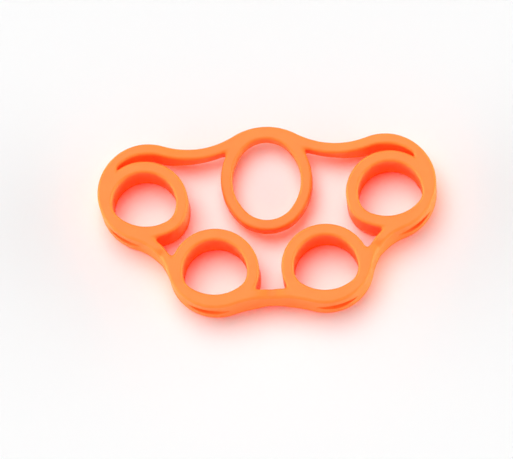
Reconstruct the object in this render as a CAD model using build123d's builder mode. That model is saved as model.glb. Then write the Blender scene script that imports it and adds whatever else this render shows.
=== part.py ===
from build123d import *
import os
from math import cos, hypot, radians, sin, sqrt

# Finger exerciser: one elastic moulding with four finger loops and an oval thumb loop.
# The moulding is parted at its necks into loops, straps and webs.
# Millimetres. X runs along the row of loops, +Y points to the thumb side, +Z is up.
# The origin is the centre of the outline, on the plane that the finger loops rest on.

# ---- driving dimensions -------------------------------------------------------------

loop_height = 12.0
web_height = 8.8
thumb_height = 5.0

outer_loop_x = 41.4
outer_loop_y = 5.4
lower_loop_x = 18.5
lower_loop_y = -19.8
hole_radius = 10.8
wall = 4.1
disc_margin = 0.1
flat_radius = 14.0
flat_offset = 5.7
flat_corner_radius = 6.0
outer_flat_lean = 10.0
lower_flat_lean = 1.0

thumb_y = 13.1
thumb_hole_half_width = 11.6
thumb_hole_half_length = 14.4
thumb_end_radius = 10.0
thumb_wall = 3.9

crown_y = 11.6
crown_radius = 20.4
side_lobe_x = 39.5
side_lobe_y = 9.0
side_lobe_radius = 17.5
lower_lobe_x = 18.3
lower_lobe_y = -16.5
lower_lobe_radius = 16.2
strap_bend_radius = 31.2
side_web_bend_radius = 17.5
centre_web_bend_radius = 44.0
strap_width = 3.7
web_width = 3.2
notch_radius = 0.6

outer_shoulder_radius = 16.2
outer_foot_radius = 24.0
lower_shoulder_radius = 15.0
lower_foot_radius = 22.0
strap_low_x = 16.0
strap_high_x = 48.0
strap_side_y = 8.0

recess_length = 14.0
recess_height = 3.8
recess_root = 10.9
outer_recess_lean = 37.0
lower_recess_lean = 15.0

# ---- derived values -----------------------------------------------------------------

recess_arc_radius = (recess_length**2 + recess_height**2) / (4 * recess_height)
mid_height = loop_height / 2
slab_side = 3 * side_lobe_x
outer_loop = (outer_loop_x, outer_loop_y)
lower_loop = (lower_loop_x, lower_loop_y)
crown = (0, crown_y)
side_lobe = (side_lobe_x, side_lobe_y)
lower_lobe = (lower_lobe_x, lower_lobe_y)


def tangent_centre(first, first_radius, second, second_radius, bend_radius):
    """Centre of the arc that touches two circles from outside, left of the way from first to second."""
    dx = second[0] - first[0]
    dy = second[1] - first[1]
    span = hypot(dx, dy)
    reach_first = first_radius + bend_radius
    reach_second = second_radius + bend_radius
    along = (span**2 + reach_first**2 - reach_second**2) / (2 * span)
    aside = sqrt(reach_first**2 - along**2)
    return (
        first[0] + (along * dx - aside * dy) / span,
        first[1] + (along * dy + aside * dx) / span,
    )


def mirrored(point):
    """The same point on the other side of the YZ plane."""
    return (-point[0], point[1])


strap_bend = tangent_centre(crown, crown_radius, side_lobe, side_lobe_radius, strap_bend_radius)
side_bend = tangent_centre(side_lobe, side_lobe_radius, lower_lobe, lower_lobe_radius, side_web_bend_radius)
centre_bend = tangent_centre(
    lower_lobe, lower_lobe_radius, mirrored(lower_lobe), lower_lobe_radius, centre_web_bend_radius
)

finger_loops = [
    (mirrored(outer_loop), -outer_flat_lean, -outer_recess_lean),
    (mirrored(lower_loop), -lower_flat_lean, -lower_recess_lean),
    (lower_loop, lower_flat_lean, lower_recess_lean),
    (outer_loop, outer_flat_lean, outer_recess_lean),
]

# ---- plan: outline, loops, window ---------------------------------------------------

with BuildSketch() as outline:
    with Locations(crown):
        Circle(crown_radius)
    with Locations(side_lobe, mirrored(side_lobe)):
        Circle(side_lobe_radius)
    with Locations(lower_lobe, mirrored(lower_lobe)):
        Circle(lower_lobe_radius)
    with BuildLine():
        Polyline(
            crown,
            strap_bend,
            side_lobe,
            side_bend,
            lower_lobe,
            centre_bend,
            mirrored(lower_lobe),
            mirrored(side_bend),
            mirrored(side_lobe),
            mirrored(strap_bend),
            close=True,
        )
    make_face()
    with Locations(strap_bend, mirrored(strap_bend)):
        Circle(strap_bend_radius, mode=Mode.SUBTRACT)
    with Locations(side_bend, mirrored(side_bend)):
        Circle(side_web_bend_radius, mode=Mode.SUBTRACT)
    with Locations(centre_bend):
        Circle(centre_web_bend_radius, mode=Mode.SUBTRACT)


def recess_plane(centre, lean):
    """The upright plane on the floor of a loop's recess, facing out of the loop."""
    out_angle = radians(lean - 90)
    outward = (cos(out_angle), sin(out_angle), 0)
    origin = (centre[0] + recess_root * outward[0], centre[1] + recess_root * outward[1], mid_height)
    return Plane(origin=origin, x_dir=(-outward[1], outward[0], 0), z_dir=outward)


def flattened(growth, plane):
    """The outline of a loop's hole, grown outwards: a circle with a flatter, soft-cornered -Y side."""
    with BuildSketch(plane) as shape:
        Circle(hole_radius)
        with Locations((0, flat_offset)):
            Circle(flat_radius, mode=Mode.INTERSECT)
        offset(amount=-flat_corner_radius, mode=Mode.REPLACE)
        offset(amount=flat_corner_radius + growth, mode=Mode.REPLACE)
    return shape.sketch


def loop_plane(centre, lean):
    """A level plane on a loop's centre whose -Y axis points out of the loop's flattened side."""
    return Plane(origin=(centre[0], centre[1], 0), x_dir=(cos(radians(lean)), sin(radians(lean)), 0))


loop_discs = []
loop_holes = []
for loop_centre, flat_lean, recess_lean in finger_loops:
    flat_plane = loop_plane(loop_centre, flat_lean)
    loop_discs.append(flattened(wall, flat_plane))
    loop_holes.append(flattened(0, flat_plane))


def thumb_oval(growth):
    """The outline of the thumb loop's hole, grown outwards: a four-arc oval."""
    half_width = thumb_hole_half_width + growth
    half_length = thumb_hole_half_length + growth
    end_radius = thumb_end_radius + growth
    side_radius = (half_width**2 + half_length**2 - 2 * half_length * end_radius) / (
        2 * (half_width - end_radius)
    )
    side_share = side_radius / (side_radius - end_radius)
    join_x = half_width - side_radius + side_share * (side_radius - half_width)
    join_y = side_share * (half_length - end_radius)
    with BuildSketch(Plane((0, thumb_y, 0))) as oval:
        with BuildLine():
            ThreePointArc((join_x, -join_y), (half_width, 0), (join_x, join_y))
            ThreePointArc((join_x, join_y), (0, half_length), (-join_x, join_y))
            ThreePointArc((-join_x, join_y), (-half_width, 0), (-join_x, -join_y))
            ThreePointArc((-join_x, -join_y), (0, -half_length), (join_x, -join_y))
        make_face()
    return oval.sketch


thumb_disc = thumb_oval(thumb_wall)
thumb_hole = thumb_oval(0)

with BuildSketch() as web_side:
    offset(outline.sketch, -web_width)
    Rectangle(slab_side, slab_side, align=(Align.CENTER, Align.MAX), mode=Mode.INTERSECT)

with BuildSketch() as window:
    offset(outline.sketch, -strap_width)
    add(web_side.sketch)
    add(thumb_disc, mode=Mode.SUBTRACT)
    for disc in loop_discs:
        add(disc, mode=Mode.SUBTRACT)
    offset(amount=-notch_radius, mode=Mode.REPLACE)
    offset(amount=notch_radius, mode=Mode.REPLACE)

with BuildSketch() as plan:
    add(outline.sketch)
    add(window.sketch, mode=Mode.SUBTRACT)
    for hole in loop_holes:
        add(hole, mode=Mode.SUBTRACT)
    add(thumb_hole, mode=Mode.SUBTRACT)

# ---- height: full over the finger loops, thin at the thumb loop, even about mid height ----

strap_middle = ((strap_low_x + strap_high_x) / 2, (mid_height + thumb_height / 2) / 2)


def hill(low_height, shoulder_radius, foot_radius):
    """A loop's full height, falling in two arcs to a lower height around it."""
    middle = ((shoulder_radius + foot_radius) / 2, (mid_height + low_height / 2) / 2)
    with BuildPart() as slope:
        with BuildSketch(Plane.XZ):
            with BuildLine():
                top = Line((0, mid_height), (shoulder_radius, mid_height))
                shoulder = TangentArc(top @ 1, middle, tangent=top % 1)
                foot = TangentArc(shoulder @ 1, (foot_radius, low_height / 2), tangent=shoulder % 1)
                Polyline(foot @ 1, (foot_radius, 0), (0, 0), (0, mid_height))
            make_face()
        revolve(axis=Axis.Z)
        mirror(about=Plane.XY)
    return slope.part


outer_hill = hill(thumb_height, outer_shoulder_radius, outer_foot_radius)
lower_hill = hill(web_height, lower_shoulder_radius, lower_foot_radius)

with BuildPart() as strap_side:
    with BuildSketch():
        with Locations((0, strap_side_y)):
            Rectangle(slab_side, slab_side, align=(Align.CENTER, Align.MIN))
        with Locations(outer_loop, mirrored(outer_loop)):
            Circle(hole_radius + wall + disc_margin, mode=Mode.SUBTRACT)
    extrude(amount=loop_height)

with BuildPart() as strap_slab:
    with BuildSketch(Plane.XZ.offset(-strap_side_y)):
        with BuildLine():
            level = Line((0, thumb_height / 2), (strap_low_x, thumb_height / 2))
            strap_foot = TangentArc(level @ 1, strap_middle, tangent=level % 1)
            strap_top = TangentArc(strap_foot @ 1, (strap_high_x, mid_height), tangent=strap_foot % 1)
            Polyline(strap_top @ 1, (slab_side / 2, mid_height), (slab_side / 2, 0), (0, 0), level @ 0)
        make_face()
    extrude(amount=-slab_side)
    mirror(about=Plane.XY)
    mirror(about=Plane.YZ)
    with BuildSketch(Plane.XY.offset(-mid_height)):
        with Locations(outer_loop, mirrored(outer_loop)):
            Circle(hole_radius + wall + disc_margin)
    extrude(amount=loop_height, mode=Mode.SUBTRACT)

with BuildPart() as moulding:
    with BuildSketch(Plane.XY.offset(mid_height - thumb_height / 2)):
        Rectangle(slab_side, slab_side)
    extrude(amount=thumb_height)
    with BuildSketch(Plane.XY.offset(mid_height - web_height / 2)):
        with Locations(centre_bend):
            Circle(centre_web_bend_radius + 2 * web_width)
    extrude(amount=web_height)
    for side in (1, -1):
        with Locations((side * outer_loop_x, outer_loop_y, mid_height)):
            add(outer_hill)
        with Locations((side * lower_loop_x, lower_loop_y, mid_height)):
            add(lower_hill)
    add(strap_side.part, mode=Mode.SUBTRACT)
    with Locations((0, 0, mid_height)):
        add(strap_slab.part)
    with BuildSketch():
        add(plan.sketch)
    extrude(amount=loop_height, mode=Mode.INTERSECT)
    for slab_bottom in (0, mid_height + thumb_height / 2):
        with BuildSketch(Plane.XY.offset(slab_bottom)):
            add(thumb_disc)
        extrude(amount=mid_height - thumb_height / 2, mode=Mode.SUBTRACT)
    for loop_centre, flat_lean, recess_lean in finger_loops:
        with BuildSketch(recess_plane(loop_centre, recess_lean)):
            with Locations((0, recess_arc_radius - recess_height / 2)):
                Circle(recess_arc_radius)
            with Locations((0, recess_height / 2 - recess_arc_radius)):
                Circle(recess_arc_radius, mode=Mode.INTERSECT)
        extrude(amount=2 * wall, mode=Mode.SUBTRACT)

# ---- regions: the moulding parted at its necks --------------------------------------

# Corners of each neck's footprint, anticlockwise from the thumb side, for the right-hand half.
strap_footprint = [(17.4, 21.2), (33.0, 20.5), (33.0, 28.0), (19.0, 27.5)]
side_web_footprint = [(36.5, -7.5), (32.35, -13.0), (38.35, -18.0), (43.0, -14.0)]
centre_web_footprint = [(-4.2, -25.0), (-6.8, -33.0), (6.8, -33.0), (4.2, -25.0)]

neck_footprints = {
    "left_strap": [mirrored(corner) for corner in strap_footprint],
    "right_strap": strap_footprint,
    "left_web": [mirrored(corner) for corner in side_web_footprint],
    "right_web": side_web_footprint,
    "centre_web": centre_web_footprint,
}
loop_middles = {
    "index_loop": mirrored(outer_loop),
    "middle_loop": mirrored(lower_loop),
    "ring_loop": lower_loop,
    "little_loop": outer_loop,
    "thumb_loop": (0, thumb_y),
}

os.makedirs("parts", exist_ok=True)

with BuildSketch() as necks_plan:
    for corners in neck_footprints.values():
        with BuildLine():
            Polyline(*corners, close=True)
        make_face()

for name, corners in neck_footprints.items():
    with BuildPart() as neck:
        add(moulding.part)
        with BuildSketch():
            with BuildLine():
                Polyline(*corners, close=True)
            make_face()
        extrude(amount=loop_height, mode=Mode.INTERSECT)
    neck.part.label = name
    export_step(neck.part, f"parts/{name}.step")

with BuildPart() as loops:
    add(moulding.part)
    with BuildSketch():
        add(necks_plan.sketch)
    extrude(amount=loop_height, mode=Mode.SUBTRACT)

for name, middle in loop_middles.items():
    with BuildPart() as loop:
        add(loops.solids().sort_by_distance((*middle, mid_height))[0])
    loop.part.label = name
    export_step(loop.part, f"parts/{name}.step")
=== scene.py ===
import math

import bmesh
import bpy
import numpy as np
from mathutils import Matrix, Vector


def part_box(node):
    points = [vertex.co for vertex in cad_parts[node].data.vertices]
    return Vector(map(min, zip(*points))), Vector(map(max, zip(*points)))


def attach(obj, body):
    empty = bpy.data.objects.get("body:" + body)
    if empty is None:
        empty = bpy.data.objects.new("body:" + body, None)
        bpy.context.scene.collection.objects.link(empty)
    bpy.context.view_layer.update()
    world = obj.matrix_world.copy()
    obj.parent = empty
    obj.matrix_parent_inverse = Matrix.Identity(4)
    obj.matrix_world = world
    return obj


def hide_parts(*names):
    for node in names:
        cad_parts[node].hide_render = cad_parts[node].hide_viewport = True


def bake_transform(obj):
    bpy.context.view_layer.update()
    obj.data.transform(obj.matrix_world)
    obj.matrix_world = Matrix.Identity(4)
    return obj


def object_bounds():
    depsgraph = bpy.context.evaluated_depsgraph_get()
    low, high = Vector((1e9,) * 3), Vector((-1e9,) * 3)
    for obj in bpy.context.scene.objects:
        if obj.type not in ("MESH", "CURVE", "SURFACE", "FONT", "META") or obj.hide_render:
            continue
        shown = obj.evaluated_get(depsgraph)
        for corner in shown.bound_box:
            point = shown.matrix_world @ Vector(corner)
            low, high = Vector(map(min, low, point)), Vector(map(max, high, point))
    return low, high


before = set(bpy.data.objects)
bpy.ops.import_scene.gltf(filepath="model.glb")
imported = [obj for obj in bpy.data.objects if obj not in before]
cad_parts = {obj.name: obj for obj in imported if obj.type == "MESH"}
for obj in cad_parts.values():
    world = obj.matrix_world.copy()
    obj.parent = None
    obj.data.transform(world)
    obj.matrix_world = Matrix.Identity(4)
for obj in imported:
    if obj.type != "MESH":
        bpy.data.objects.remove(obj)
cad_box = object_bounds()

# The exerciser is one soft moulding, so its skin is made once, as one smooth closed surface around the
# CAD regions, and is then parted at the CAD cut faces. Lengths below are millimetres unless a name ends
# in _m, and Z is up. The plan is built from circles, as the CAD plan is. Points are given for the
# right-hand half, and mirrored() gives the left-hand half.

MM = 0.001

# ---- sizes --------------------------------------------------------------------------

low_corner, high_corner = cad_box
thumb_low, thumb_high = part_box("thumb_loop")
loop_height = (high_corner[2] - low_corner[2]) / MM
mid_height = loop_height / 2
thumb_height = (thumb_high.z - thumb_low.z) / MM
web_height = 8.8

# The finger loops: their centres, walls and holes. Each hole is flattened on its outer side.
outer_loop = (41.5, 5.45)
lower_loop = (18.6, -19.65)
hole_radius = 10.8
loop_wall = 4.1
flat_radius = 14.0
flat_offset = 5.7
flat_corner_radius = 6.0
outer_flat_lean = 10.0
lower_flat_lean = 1.0

# The thumb loop.
thumb_y = 13.1
thumb_hole_half_width = 11.6
thumb_hole_half_length = 14.4
thumb_end_radius = 10.0
thumb_wall = 3.9

# The outline: round lobes, joined by hollow bends, and the bands that run along it.
crown = (0.0, 11.6)
crown_radius = 20.4
side_lobe = (39.5, 9.0)
side_lobe_radius = 17.55
lower_lobe = (18.3, -16.5)
lower_lobe_radius = 16.2
strap_bend_radius = 31.2
side_web_bend_radius = 17.5
centre_web_bend_radius = 44.0
strap_width = 3.7
web_width = 3.2

# The slit between a strap and an outer loop: the strap thins towards the slit's end.
slit_taper = 0.5
slit_taper_x = 41.0
slit_end_x = 50.2

# Where the height falls from a finger loop's to a web's or a strap's: radii round a loop's centre for
# the webs, and places along X for the straps.
outer_slope = (16.2, 24.0)
lower_slope = (15.0, 22.0)
strap_low_x = 16.0
strap_high_x = 48.0
strap_side_y = 8.0
web_side_y = -5.8
ring_margin = 0.1
thumb_margin = 0.3

# The recess in each finger loop's outer wall.
recess_length = 14.0
recess_height = 3.8
recess_root = 10.9
outer_recess_lean = 37.0
lower_recess_lean = 15.0

# Softness: rounded rims, soft corners, and the slight lean of the moulding as it lies.
rim_radius = 0.95
rim_swell = 0.1
lean = 0.017
finger_notch_blend = 2.2
thumb_notch_blend = 2.2
slit_blend = 0.7
slit_end_blend = 0.4
valley_blend = 0.8
recess_blend = 0.35

# The skin's mesh.
pitch = 0.3
gradient_reach = 0.05
least_gradient = 0.2
least_group = 100


def mirrored(point):
    """The left-hand partner of a point."""
    return (-point[0], point[1])


def tangent_centre(first, first_radius, second, second_radius, bend_radius):
    """Centre of the arc that touches two circles from outside, left of the way from first to second."""
    dx = second[0] - first[0]
    dy = second[1] - first[1]
    span = math.hypot(dx, dy)
    reach_first = first_radius + bend_radius
    reach_second = second_radius + bend_radius
    along = (span**2 + reach_first**2 - reach_second**2) / (2 * span)
    aside = math.sqrt(reach_first**2 - along**2)
    return (
        first[0] + (along * dx - aside * dy) / span,
        first[1] + (along * dy + aside * dx) / span,
    )


strap_bend = tangent_centre(crown, crown_radius, side_lobe, side_lobe_radius, strap_bend_radius)
side_bend = tangent_centre(
    side_lobe, side_lobe_radius, lower_lobe, lower_lobe_radius, side_web_bend_radius
)
centre_bend = tangent_centre(
    lower_lobe, lower_lobe_radius, mirrored(lower_lobe), lower_lobe_radius, centre_web_bend_radius
)

# Each finger loop's centre, the lean of its flattened side and the lean of its recess, in degrees.
finger_loops = {
    "index": (mirrored(outer_loop), -outer_flat_lean, -outer_recess_lean),
    "middle": (mirrored(lower_loop), -lower_flat_lean, -lower_recess_lean),
    "ring": (lower_loop, lower_flat_lean, lower_recess_lean),
    "little": (outer_loop, outer_flat_lean, outer_recess_lean),
}
loop_bodies = (*finger_loops, "thumb")


# ---- signed distances: negative inside ----------------------------------------------


def blend_max(a, b, width):
    """The larger of two distances, with a soft corner of that width where they cross."""
    share = np.clip(0.5 + (a - b) / (2 * width), 0, 1)
    return b + (a - b) * share + width * share * (1 - share)


def circle_distance(x, y, centre, radius):
    """Distance outside a circle."""
    return np.hypot(x - centre[0], y - centre[1]) - radius


def inside_polygon(x, y, corners):
    """Whether each point lies inside a polygon."""
    inside = np.zeros(np.shape(x), bool)
    for (ax, ay), (bx, by) in zip(corners, corners[1:] + corners[:1]):
        if by != ay:
            inside ^= ((ay > y) != (by > y)) & (x < ax + (y - ay) * (bx - ax) / (by - ay))
    return inside


def outline_distance(x, y):
    """The outer edge: round lobes, and the hollow bends between them, which belong to a star of centres."""
    star = [
        crown, strap_bend, side_lobe, side_bend, lower_lobe, centre_bend,
        mirrored(lower_lobe), mirrored(side_bend), mirrored(side_lobe), mirrored(strap_bend),
    ]
    side_x = np.abs(x)
    lobes = np.minimum.reduce([
        circle_distance(x, y, crown, crown_radius),
        circle_distance(side_x, y, side_lobe, side_lobe_radius),
        circle_distance(side_x, y, lower_lobe, lower_lobe_radius),
    ])
    bends = np.maximum.reduce([
        -circle_distance(side_x, y, strap_bend, strap_bend_radius),
        -circle_distance(side_x, y, side_bend, side_web_bend_radius),
        -circle_distance(x, y, centre_bend, centre_web_bend_radius),
    ])
    return np.where(inside_polygon(x, y, star), bends, lobes)


def hole_distance(x, y, centre, flat_lean):
    """A finger hole: a circle whose outer side is a flatter arc, with softened corners."""
    cos_lean, sin_lean = math.cos(math.radians(flat_lean)), math.sin(math.radians(flat_lean))
    u = (x - centre[0]) * cos_lean + (y - centre[1]) * sin_lean
    v = (y - centre[1]) * cos_lean - (x - centre[0]) * sin_lean
    small = hole_radius - flat_corner_radius
    broad = flat_radius - flat_corner_radius
    to_small = np.hypot(u, v)
    to_broad = np.hypot(u, v - flat_offset)
    corner_v = (small**2 - broad**2 + flat_offset**2) / (2 * flat_offset)
    corner_u = math.sqrt(small**2 - corner_v**2)
    on_small = v * small / np.maximum(to_small, 1e-9) >= corner_v
    on_broad = (v - flat_offset) * broad / np.maximum(to_broad, 1e-9) + flat_offset <= corner_v
    corner = np.hypot(np.abs(u) - corner_u, v - corner_v)
    inner = np.maximum(to_small - small, to_broad - broad)
    core = np.where(on_small, to_small - small, np.where(on_broad, to_broad - broad, corner))
    core = np.where(inner < 0, inner, core)
    return core - flat_corner_radius


def thumb_distance(x, y):
    """The thumb hole: a four-arc oval."""
    half_width, half_length, end_radius = thumb_hole_half_width, thumb_hole_half_length, thumb_end_radius
    side_radius = (half_width**2 + half_length**2 - 2 * half_length * end_radius) / (
        2 * (half_width - end_radius)
    )
    u, v = np.abs(x), np.abs(y - thumb_y)
    side_centre = half_width - side_radius
    end_centre = half_length - end_radius
    on_end = (v - end_centre) * -side_centre >= u * end_centre
    to_end = np.hypot(u, v - end_centre) - end_radius
    to_side = np.hypot(u - side_centre, v) - side_radius
    return np.where(on_end, to_end, to_side)


def plan_distance(x, y):
    """The plan: the outline, less the finger holes, the thumb hole and the window around the loops."""
    outline = outline_distance(x, y) - rim_swell
    holes = [hole_distance(x, y, centre, flat_lean) for centre, flat_lean, _ in finger_loops.values()]
    hole = np.minimum.reduce(holes)
    thumb = thumb_distance(x, y)
    beside_slit = y > strap_side_y
    taper = slit_taper * np.clip((np.abs(x) - slit_taper_x) / (slit_end_x - slit_taper_x), 0, 1)
    band_width = np.where(y > 0, strap_width - taper, web_width)
    notch_blend = np.where(beside_slit, slit_blend, finger_notch_blend)
    window = blend_max(outline + rim_swell + band_width, loop_wall - hole, notch_blend)
    window = blend_max(window, thumb_wall - thumb, thumb_notch_blend)
    slit = blend_max(window, np.abs(x) - slit_end_x, slit_end_blend)
    window = np.where(beside_slit, slit, window)
    solid = np.maximum(outline, -window)
    return np.maximum(np.maximum(solid, -hole), -thumb)


def slope(distance, start, end, high, low):
    """A height that falls from high at start to low at end, in two equal arcs."""
    rise, run = high - low, abs(end - start)
    arc_radius = (run**2 + rise**2) / (4 * rise)
    away = np.clip((distance - start) * np.sign(end - start), 0, run)
    shoulder = high - arc_radius + np.sqrt(np.maximum(arc_radius**2 - away**2, 0))
    foot = low + arc_radius - np.sqrt(np.maximum(arc_radius**2 - (run - away) ** 2, 0))
    return np.where(away < run / 2, shoulder, foot)


def half_height(x, y):
    """Half the moulding's height: full over the finger loops, falling to the straps and the thumb loop."""
    low = thumb_height / 2
    web = web_height / 2
    height = np.where(y < web_side_y, web, low)
    over_ring = np.zeros(np.shape(x), bool)
    for centre, _, _ in finger_loops.values():
        r = np.hypot(x - centre[0], y - centre[1])
        if centre[1] > 0:
            hill = slope(r, *outer_slope, mid_height, low)
        else:
            hill = np.where(r < lower_slope[1], slope(r, *lower_slope, mid_height, web), low)
        overlap = np.clip(np.minimum(height, hill) - low, 1e-6, 1)
        height = blend_max(height, hill, valley_blend * overlap)
        over_ring |= r < hole_radius + loop_wall + ring_margin
    height = np.minimum(height, mid_height)
    strap = slope(np.abs(x), strap_high_x, strap_low_x, mid_height, low)
    height = np.where(y > strap_side_y, np.where(over_ring, mid_height, strap), height)
    return np.where(thumb_distance(x, y) < thumb_wall + thumb_margin, low, height)


def recess_distance(x, y, z, centre, recess_lean):
    """The lens-shaped recess in a finger loop's outer wall."""
    arc_radius = (recess_length**2 + recess_height**2) / (4 * recess_height)
    angle = math.radians(recess_lean - 90)
    out_x, out_y = math.cos(angle), math.sin(angle)
    depth = (x - centre[0]) * out_x + (y - centre[1]) * out_y
    u = (y - centre[1]) * out_x - (x - centre[0]) * out_y
    v = np.abs(z - mid_height)
    lens = np.hypot(u, v + arc_radius - recess_height / 2) - arc_radius
    return np.maximum(lens, recess_root - depth)


def skin_distance(x, y, z, plan=None, height=None):
    """The whole moulding, with rounded rims. The plan and height may be given when they are known."""
    x = x + lean * y
    plan = plan_distance(x, y) if plan is None else plan
    height = half_height(x, y) if height is None else height
    across = plan + rim_radius
    up = np.abs(z - mid_height) - height + rim_radius
    beyond = np.hypot(np.maximum(across, 0), np.maximum(up, 0))
    solid = np.minimum(np.maximum(across, up), 0) + beyond - rim_radius
    for centre, _, recess_lean in finger_loops.values():
        solid = blend_max(solid, -recess_distance(x, y, z, centre, recess_lean), recess_blend)
    return solid


# ---- the skin as one mesh -----------------------------------------------------------


def grid_axis(low, high):
    """Grid places from a little below low to a little above high."""
    return np.arange(low - 2.5 * pitch, high + 3 * pitch, pitch)


def net_points(field, origin):
    """One point in each grid cell that the surface crosses, at the mean of its crossings, and the cells."""
    corners = [(i, j, k) for i in (0, 1) for j in (0, 1) for k in (0, 1)]
    shape = np.array(field.shape) - 1
    solid = (field < 0).astype(np.int8)
    count = sum(solid[i:i + shape[0], j:j + shape[1], k:k + shape[2]] for i, j, k in corners)
    cells = np.argwhere((count > 0) & (count < len(corners)))
    total = np.zeros((len(cells), 3))
    crossings = np.zeros(len(cells))
    for start in corners:
        for axis in range(3):
            if start[axis]:
                continue
            end = tuple(1 if a == axis else start[a] for a in range(3))
            at_start = field[tuple((cells + start).T)]
            at_end = field[tuple((cells + end).T)]
            crossed = (at_start < 0) != (at_end < 0)
            share = np.where(crossed, at_start / np.where(crossed, at_start - at_end, 1), 0)
            point = np.array(start, float) + share[:, None] * np.eye(3)[axis]
            total += point * crossed[:, None]
            crossings += crossed
    return origin + (cells + total / crossings[:, None]) * pitch, cells


def net_quads(field, cells):
    """One quad for each grid edge that the surface crosses, joining the four cells around it."""
    solid = field < 0
    index = np.full(np.array(field.shape) - 1, -1, np.int64)
    index[tuple(cells.T)] = np.arange(len(cells))
    quads = []
    for axis in range(3):
        near = [slice(1, -1)] * 3
        near[axis] = slice(0, -1)
        far = list(near)
        far[axis] = slice(1, None)
        low_side, high_side = solid[tuple(near)], solid[tuple(far)]
        edges = np.argwhere(low_side != high_side)
        rising = low_side[tuple(edges.T)]
        base = edges + np.array([0 if a == axis else 1 for a in range(3)])
        step_one = np.eye(3, dtype=int)[(axis + 1) % 3]
        step_two = np.eye(3, dtype=int)[(axis + 2) % 3]
        around = [base - step_one - step_two, base - step_two, base, base - step_one]
        quad = np.stack([index[tuple(cell.T)] for cell in around], 1)
        quad[~rising] = quad[~rising][:, ::-1]
        quads.append(quad)
    return np.concatenate(quads)


def pull_to_surface(points):
    """Points moved onto the zero distance, and the surface's direction there."""
    x, y, z = points.T
    here = skin_distance(x, y, z)
    gradient = np.stack(
        [
            skin_distance(x + gradient_reach, y, z) - skin_distance(x - gradient_reach, y, z),
            skin_distance(x, y + gradient_reach, z) - skin_distance(x, y - gradient_reach, z),
            skin_distance(x, y, z + gradient_reach) - skin_distance(x, y, z - gradient_reach),
        ],
        1,
    ) / (2 * gradient_reach)
    length = np.maximum(np.linalg.norm(gradient, axis=1), least_gradient)
    move = np.clip(here / length, -pitch / 2, pitch / 2)
    normals = gradient / length[:, None]
    return points - normals * move[:, None], normals


def make_skin():
    """A closed quad surface on the moulding's zero distance (surface nets), pulled exactly onto it."""
    xs = grid_axis(low_corner[0] / MM, high_corner[0] / MM)
    ys = grid_axis(low_corner[1] / MM, high_corner[1] / MM)
    zs = grid_axis(low_corner[2] / MM, high_corner[2] / MM)
    gx, gy = np.meshgrid(xs, ys, indexing="ij")
    leant = gx + lean * gy
    plan = plan_distance(leant, gy)
    height = half_height(leant, gy)
    field = skin_distance(
        gx[:, :, None], gy[:, :, None], zs[None, None, :], plan[:, :, None], height[:, :, None]
    ).astype(np.float32)
    points, cells = net_points(field, np.array([xs[0], ys[0], zs[0]]))
    for _ in range(2):
        points, _ = pull_to_surface(points)
    return points, net_quads(field, cells)


# ---- parting the skin at the CAD cut faces ------------------------------------------

# Each cut is a line across a neck, in plan: its two ends, window side first.
strap_thumb_cut = ((17.4, 21.2), (19.0, 27.5))
strap_loop_cut = ((33.0, 20.5), (33.0, 28.0))
side_upper_cut = ((36.5, -7.5), (43.0, -14.0))
side_lower_cut = ((32.35, -13.0), (38.35, -18.0))
centre_cut = ((4.2, -25.0), (6.8, -33.0))


def halfway(first, second):
    """The cut midway between two cuts."""
    return tuple(tuple((p + q) / 2 for p, q in zip(a, b)) for a, b in zip(first, second))


def mirrored_cut(cut):
    """The left-hand partner of a cut."""
    return tuple(mirrored(point) for point in cut)


def cut_middle(cut):
    """The middle of a cut at mid-height, in metres."""
    (ax, ay), (bx, by) = cut
    return Vector(((ax + bx) / 2, (ay + by) / 2, mid_height)) * MM


# Each neck's two cuts, and the body beyond each.
necks = {
    "right_strap": (strap_thumb_cut, strap_loop_cut, "thumb", "little"),
    "left_strap": (mirrored_cut(strap_thumb_cut), mirrored_cut(strap_loop_cut), "thumb", "index"),
    "right_web": (side_upper_cut, side_lower_cut, "little", "ring"),
    "left_web": (mirrored_cut(side_upper_cut), mirrored_cut(side_lower_cut), "index", "middle"),
    "centre_web": (centre_cut, mirrored_cut(centre_cut), "ring", "middle"),
}


def part_along(bm, cut):
    """Cuts the skin open along one line across a neck."""
    (ax, ay), (bx, by) = cut
    start = Vector((ax, ay, 0)) * MM
    way = Vector((bx, by, 0)) * MM - start
    length = way.length
    along = way / length
    normal = Vector((along.y, -along.x, 0))
    reach = 3 * pitch * MM

    def near(face):
        offset = face.calc_center_median() - start
        return abs(offset.dot(normal)) < reach and -reach < offset.dot(along) < length + reach

    faces = [face for face in bm.faces if near(face)]
    geometry = dict.fromkeys(faces)
    for face in faces:
        geometry.update(dict.fromkeys(face.edges))
        geometry.update(dict.fromkeys(face.verts))
    parted = bmesh.ops.bisect_plane(bm, geom=list(geometry), plane_co=start, plane_no=normal, dist=1e-7)
    edges = [part for part in parted["geom_cut"] if isinstance(part, bmesh.types.BMEdge)]
    # The plane also marks the loop across the window, behind the cut's first end, which stays whole.
    edges = [edge for edge in edges if all((vert.co - start).dot(along) > 0 for vert in edge.verts)]
    bmesh.ops.split_edges(bm, edges=edges)


def connected_groups(bm):
    """The vertices of each separate part of the mesh."""
    seen = set()
    groups = []
    for seed in bm.verts:
        if seed in seen:
            continue
        seen.add(seed)
        group = [seed]
        for vert in group:
            for edge in vert.link_edges:
                other = edge.other_vert(vert)
                if other not in seen:
                    seen.add(other)
                    group.append(other)
        groups.append(group)
    return groups


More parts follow.
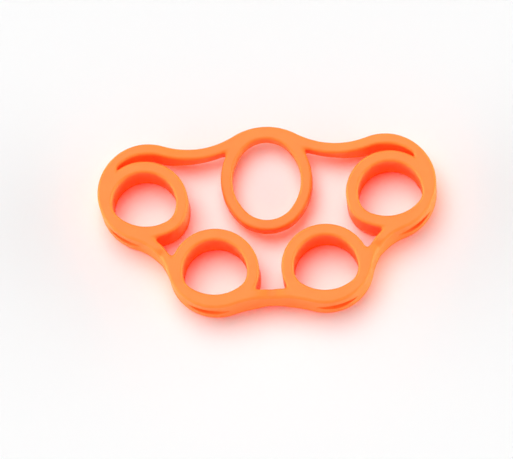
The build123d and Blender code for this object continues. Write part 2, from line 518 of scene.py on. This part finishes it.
def piece_from(group, name):
    """One parted piece as its own closed object, shaded with the whole skin's directions."""
    bm = bmesh.new()
    made = {vert: bm.verts.new(vert.co) for vert in group}
    for face in dict.fromkeys(face for vert in group for face in vert.link_faces):
        bm.faces.new([made[vert] for vert in face.verts]).smooth = True
    rims = [edge for edge in bm.edges if edge.is_boundary]
    caps = bmesh.ops.edgeloop_fill(bm, edges=rims)["faces"]
    bmesh.ops.recalc_face_normals(bm, faces=bm.faces)
    for cap in caps:
        cap.material_index = 1
    bmesh.ops.triangulate(bm, faces=caps)
    mesh = bpy.data.meshes.new(name)
    bm.to_mesh(mesh)
    bm.free()
    points = np.zeros(len(mesh.vertices) * 3)
    mesh.vertices.foreach_get("co", points)
    _, normals = pull_to_surface(points.reshape(-1, 3) / MM)
    mesh.normals_split_custom_set_from_vertices([tuple(normal) for normal in normals])
    piece = bpy.data.objects.new(name, mesh)
    bpy.context.scene.collection.objects.link(piece)
    return piece


def loop_middle(body):
    """The middle of a loop's CAD box, in metres."""
    low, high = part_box(f"{body}_loop")
    return (low + high) / 2


def build_pieces():
    """The skin's pieces: a loop rides on its body, and each neck is parted into two halves, which are left
    where they lie.
    """
    points, quads = make_skin()
    mesh = bpy.data.meshes.new("whole_skin")
    mesh.from_pydata((points * MM).tolist(), [], quads.tolist())
    bm = bmesh.new()
    bm.from_mesh(mesh)
    bpy.data.meshes.remove(mesh)
    halves = []
    for neck, (first, second, first_body, second_body) in necks.items():
        middle = halfway(first, second)
        for cut in (first, second, middle):
            part_along(bm, cut)
        halves.append((neck, first_body, cut_middle(first), cut_middle(middle)))
        halves.append((neck, second_body, cut_middle(second), cut_middle(middle)))

    # A slit end narrower than the grid can leave a bubble, which is dropped.
    groups = sorted((group for group in connected_groups(bm) if len(group) > least_group), key=len)
    if len(groups) != len(halves) + len(loop_bodies):
        raise RuntimeError(f"the skin parted into {len(groups)} pieces")
    pieces = []
    for number, group in enumerate(groups):
        centre = sum((vert.co for vert in group), Vector()) / len(group)
        if number < len(halves):
            neck, body, start, end = min(halves, key=lambda h: ((h[2] + h[3]) / 2 - centre).length)
            piece = piece_from(group, f"{neck}_{body}_half")
            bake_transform(piece)
            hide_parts(neck)
        else:
            body = min(loop_bodies, key=lambda name: (loop_middle(name) - centre).length)
            piece = piece_from(group, f"{body}_loop_skin")
            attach(piece, body)
            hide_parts(f"{body}_loop")
        pieces.append(piece)
    bm.free()
    return pieces


# ---- node helpers -------------------------------------------------------------------


def math_node(tree, operation, *sources):
    """The result of a maths node fed with sockets or plain numbers."""
    node = tree.nodes.new("ShaderNodeMath")
    node.operation = operation
    for socket, source in zip(node.inputs, sources):
        if isinstance(source, bpy.types.NodeSocket):
            tree.links.new(source, socket)
        else:
            socket.default_value = source
    return node.outputs["Value"]


def noise_node(tree, coords, scale, detail):
    """A noise pattern, with its scale in waves per metre."""
    node = tree.nodes.new("ShaderNodeTexNoise")
    node.inputs["Scale"].default_value = scale
    node.inputs["Detail"].default_value = detail
    tree.links.new(coords, node.inputs["Vector"])
    return node.outputs["Fac"]


def ramp_node(tree, source, start, end, low, high):
    """A smooth change from low to high as the source goes from start to end."""
    node = tree.nodes.new("ShaderNodeMapRange")
    node.interpolation_type = "SMOOTHSTEP"
    node.inputs["From Min"].default_value = start
    node.inputs["From Max"].default_value = end
    node.inputs["To Min"].default_value = low
    node.inputs["To Max"].default_value = high
    tree.links.new(source, node.inputs["Value"])
    return node.outputs["Result"]


def new_material(name):
    """An empty node material, and its node tree."""
    material = bpy.data.materials.new(name)
    material.use_nodes = True
    return material, material.node_tree


# ---- materials ----------------------------------------------------------------------

# Orange silicone: two near tints make the mottle. The emission is a painted red glow that lifts the shade on
# the walls and on the floor beside them. The light let through is a translucent share of the surface.
mottle_tints = ((1.0, 0.44, 0.070, 1), (1.0, 0.47, 0.078, 1))
mottle_range = (0.3, 0.7)
mottle_scale = 160
silicone_roughness = 0.42
silicone_ior = 1.41
painted_glow_colour = (1.0, 0.02, 0.0, 1)
painted_glow_strength = 0.38
through_colour = (1.0, 0.05, 0.0, 1)
through_share = 0.42
grain_scale = 2500
grain_strength = 0.08
grain_depth_m = 0.0001

# Specks of dust, dark and light, each a dot in some of the cells of its own pattern.
speck_tints = ((0.42, 0.09, 0.02, 1), (1.0, 0.75, 0.45, 1))
speck_shift_m = 0.05
speck_cells = 150
speck_radius = 0.04
speck_share = 0.35

floor_colour = (0.93, 0.93, 0.93, 1)
floor_roughness = 0.7
floor_specular = 0.2


def add_specks(tree, coords, base, tint, shift):
    """The base colour with specks of another tint, from a cell pattern moved by the shift."""
    nodes, links = tree.nodes, tree.links
    shifted = nodes.new("ShaderNodeVectorMath")
    shifted.operation = "ADD"
    shifted.inputs[1].default_value = (shift, shift, shift)
    links.new(coords, shifted.inputs[0])
    cells = nodes.new("ShaderNodeTexVoronoi")
    cells.inputs["Scale"].default_value = speck_cells
    links.new(shifted.outputs["Vector"], cells.inputs["Vector"])
    parts = nodes.new("ShaderNodeSeparateColor")
    links.new(cells.outputs["Color"], parts.inputs["Color"])
    dot = math_node(tree, "LESS_THAN", cells.outputs["Distance"], speck_radius)
    chosen = math_node(tree, "LESS_THAN", parts.outputs["Red"], speck_share)
    blend = nodes.new("ShaderNodeMix")
    blend.data_type = "RGBA"
    blend.inputs["B"].default_value = tint
    links.new(math_node(tree, "MULTIPLY", dot, chosen), blend.inputs["Factor"])
    links.new(base, blend.inputs["A"])
    return blend.outputs["Result"]


def silicone_material():
    """Orange satin silicone that lets red light through, with a painted red glow, a faint mottle, specks and a
    fine grain.
    """
    material, tree = new_material("orange_silicone")
    nodes, links = tree.nodes, tree.links
    coords = nodes.new("ShaderNodeTexCoord").outputs["Object"]
    shader = nodes["Principled BSDF"]
    shader.inputs["Roughness"].default_value = silicone_roughness
    shader.inputs["IOR"].default_value = silicone_ior
    # Painted light: a red glow, set as emission, lifts the shaded walls and the floor beside them.
    shader.inputs["Emission Color"].default_value = painted_glow_colour
    shader.inputs["Emission Strength"].default_value = painted_glow_strength

    colour = nodes.new("ShaderNodeValToRGB")
    for stop, place, tint in zip(colour.color_ramp.elements, mottle_range, mottle_tints):
        stop.position = place
        stop.color = tint
    links.new(noise_node(tree, coords, mottle_scale, 3), colour.inputs["Fac"])
    base = colour.outputs["Color"]
    for number, tint in enumerate(speck_tints):
        base = add_specks(tree, coords, base, tint, number * speck_shift_m)
    links.new(base, shader.inputs["Base Color"])

    bump = nodes.new("ShaderNodeBump")
    bump.inputs["Strength"].default_value = grain_strength
    bump.inputs["Distance"].default_value = grain_depth_m
    links.new(noise_node(tree, coords, grain_scale, 2), bump.inputs["Height"])
    links.new(bump.outputs["Normal"], shader.inputs["Normal"])

    through = nodes.new("ShaderNodeBsdfTranslucent")
    through.inputs["Color"].default_value = through_colour
    mix = nodes.new("ShaderNodeMixShader")
    mix.inputs["Fac"].default_value = through_share
    links.new(shader.outputs["BSDF"], mix.inputs[1])
    links.new(through.outputs["BSDF"], mix.inputs[2])
    links.new(mix.outputs["Shader"], nodes["Material Output"].inputs["Surface"])
    return material


def cut_material():
    """The faces inside the moulding where it is parted, which let light pass as if it were whole."""
    material, tree = new_material("inner_cut")
    clear = tree.nodes.new("ShaderNodeBsdfTransparent")
    tree.links.new(clear.outputs["BSDF"], tree.nodes["Material Output"].inputs["Surface"])
    return material


def floor_material():
    """Matt white paper."""
    material, tree = new_material("white_floor")
    shader = tree.nodes["Principled BSDF"]
    shader.inputs["Base Color"].default_value = floor_colour
    shader.inputs["Roughness"].default_value = floor_roughness
    shader.inputs["Specular IOR Level"].default_value = floor_specular
    return material


# ---- stage, light and camera --------------------------------------------------------

# The floor lies a hair under the moulding, so that the two don't share a face.
floor_size_m = 6
floor_drop = 0.1

# The tent of light: each part's ramp runs over a direction, from its first value to its second.
overhead_direction = (-0.17, 0.36, 0.917)
overhead_ramp = (0.80, 0.97, 0.0, 3.85)
level_ramp = (0.42, 0.12, 0.0, 1.0)
sides_ramp = (0.7, 1.0, 0.0, 11.0)
front_ramp = (0.2, -0.6, 0.0, 0.9)

# The view, with its angles in degrees.
view_azimuth = -9.02
view_elevation = 71.1
view_roll = 11.13
view_distance = 1206.8
view_target = (-4.17, -3.94, mid_height)
lens_length = 251.4
sensor_width = 36
clip_end_m = 20


def make_floor():
    """A plain white floor."""
    bpy.ops.mesh.primitive_plane_add(size=floor_size_m, location=(0, 0, -floor_drop * MM))
    floor = bpy.context.active_object
    floor.name = "floor"
    floor.data.materials.append(floor_material())


def make_lights():
    """A white tent: a soft light overhead and a little behind, low panels at both sides, and a weak front."""
    world = bpy.data.worlds.new("studio")
    bpy.context.scene.world = world
    world.use_nodes = True
    tree = world.node_tree
    background = tree.nodes["Background"]
    background.inputs["Color"].default_value = (1, 1, 1, 1)
    direction = tree.nodes.new("ShaderNodeTexCoord").outputs["Generated"]
    facing = tree.nodes.new("ShaderNodeVectorMath")
    facing.operation = "DOT_PRODUCT"
    facing.inputs[1].default_value = overhead_direction
    tree.links.new(direction, facing.inputs[0])
    split = tree.nodes.new("ShaderNodeSeparateXYZ")
    tree.links.new(direction, split.inputs["Vector"])
    sideways = math_node(tree, "ABSOLUTE", split.outputs["X"])

    overhead = ramp_node(tree, facing.outputs["Value"], *overhead_ramp)
    level = ramp_node(tree, split.outputs["Z"], *level_ramp)
    sides = ramp_node(tree, sideways, *sides_ramp)
    front = ramp_node(tree, split.outputs["Y"], *front_ramp)
    around = math_node(tree, "MULTIPLY", level, math_node(tree, "ADD", sides, front))
    tree.links.new(math_node(tree, "ADD", overhead, around), background.inputs["Strength"])


def make_camera():
    """A long lens from near the top, a little from the right, and turned on the picture."""
    azimuth, elevation, roll = (math.radians(a) for a in (view_azimuth, view_elevation, view_roll))
    look = Vector((
        math.sin(azimuth) * math.cos(elevation),
        math.cos(azimuth) * math.cos(elevation),
        -math.sin(elevation),
    ))
    right = Vector((math.cos(azimuth), -math.sin(azimuth), 0))
    up = right.cross(look)
    turned_right = math.cos(roll) * right - math.sin(roll) * up
    turned_up = math.sin(roll) * right + math.cos(roll) * up
    data = bpy.data.cameras.new("camera")
    data.sensor_width = sensor_width
    data.lens = lens_length
    data.clip_end = clip_end_m
    camera = bpy.data.objects.new("camera", data)
    rotation = camera.matrix_world.to_3x3()
    rotation.col[0], rotation.col[1], rotation.col[2] = turned_right, turned_up, -look
    camera.matrix_world = rotation.to_4x4()
    camera.location = (Vector(view_target) - look * view_distance) * MM
    bpy.context.scene.collection.objects.link(camera)
    bpy.context.scene.camera = camera


# ---- the scene ----------------------------------------------------------------------

silicone, inner_cut = silicone_material(), cut_material()
for piece in build_pieces():
    piece.data.materials.append(silicone)
    piece.data.materials.append(inner_cut)
make_floor()
make_lights()
make_camera()

scene = bpy.context.scene
scene.view_settings.view_transform = "Standard"
scene.cycles.max_bounces = 24
scene.cycles.diffuse_bounces = 16
scene.cycles.transmission_bounces = 16
scene.cycles.transparent_max_bounces = 32
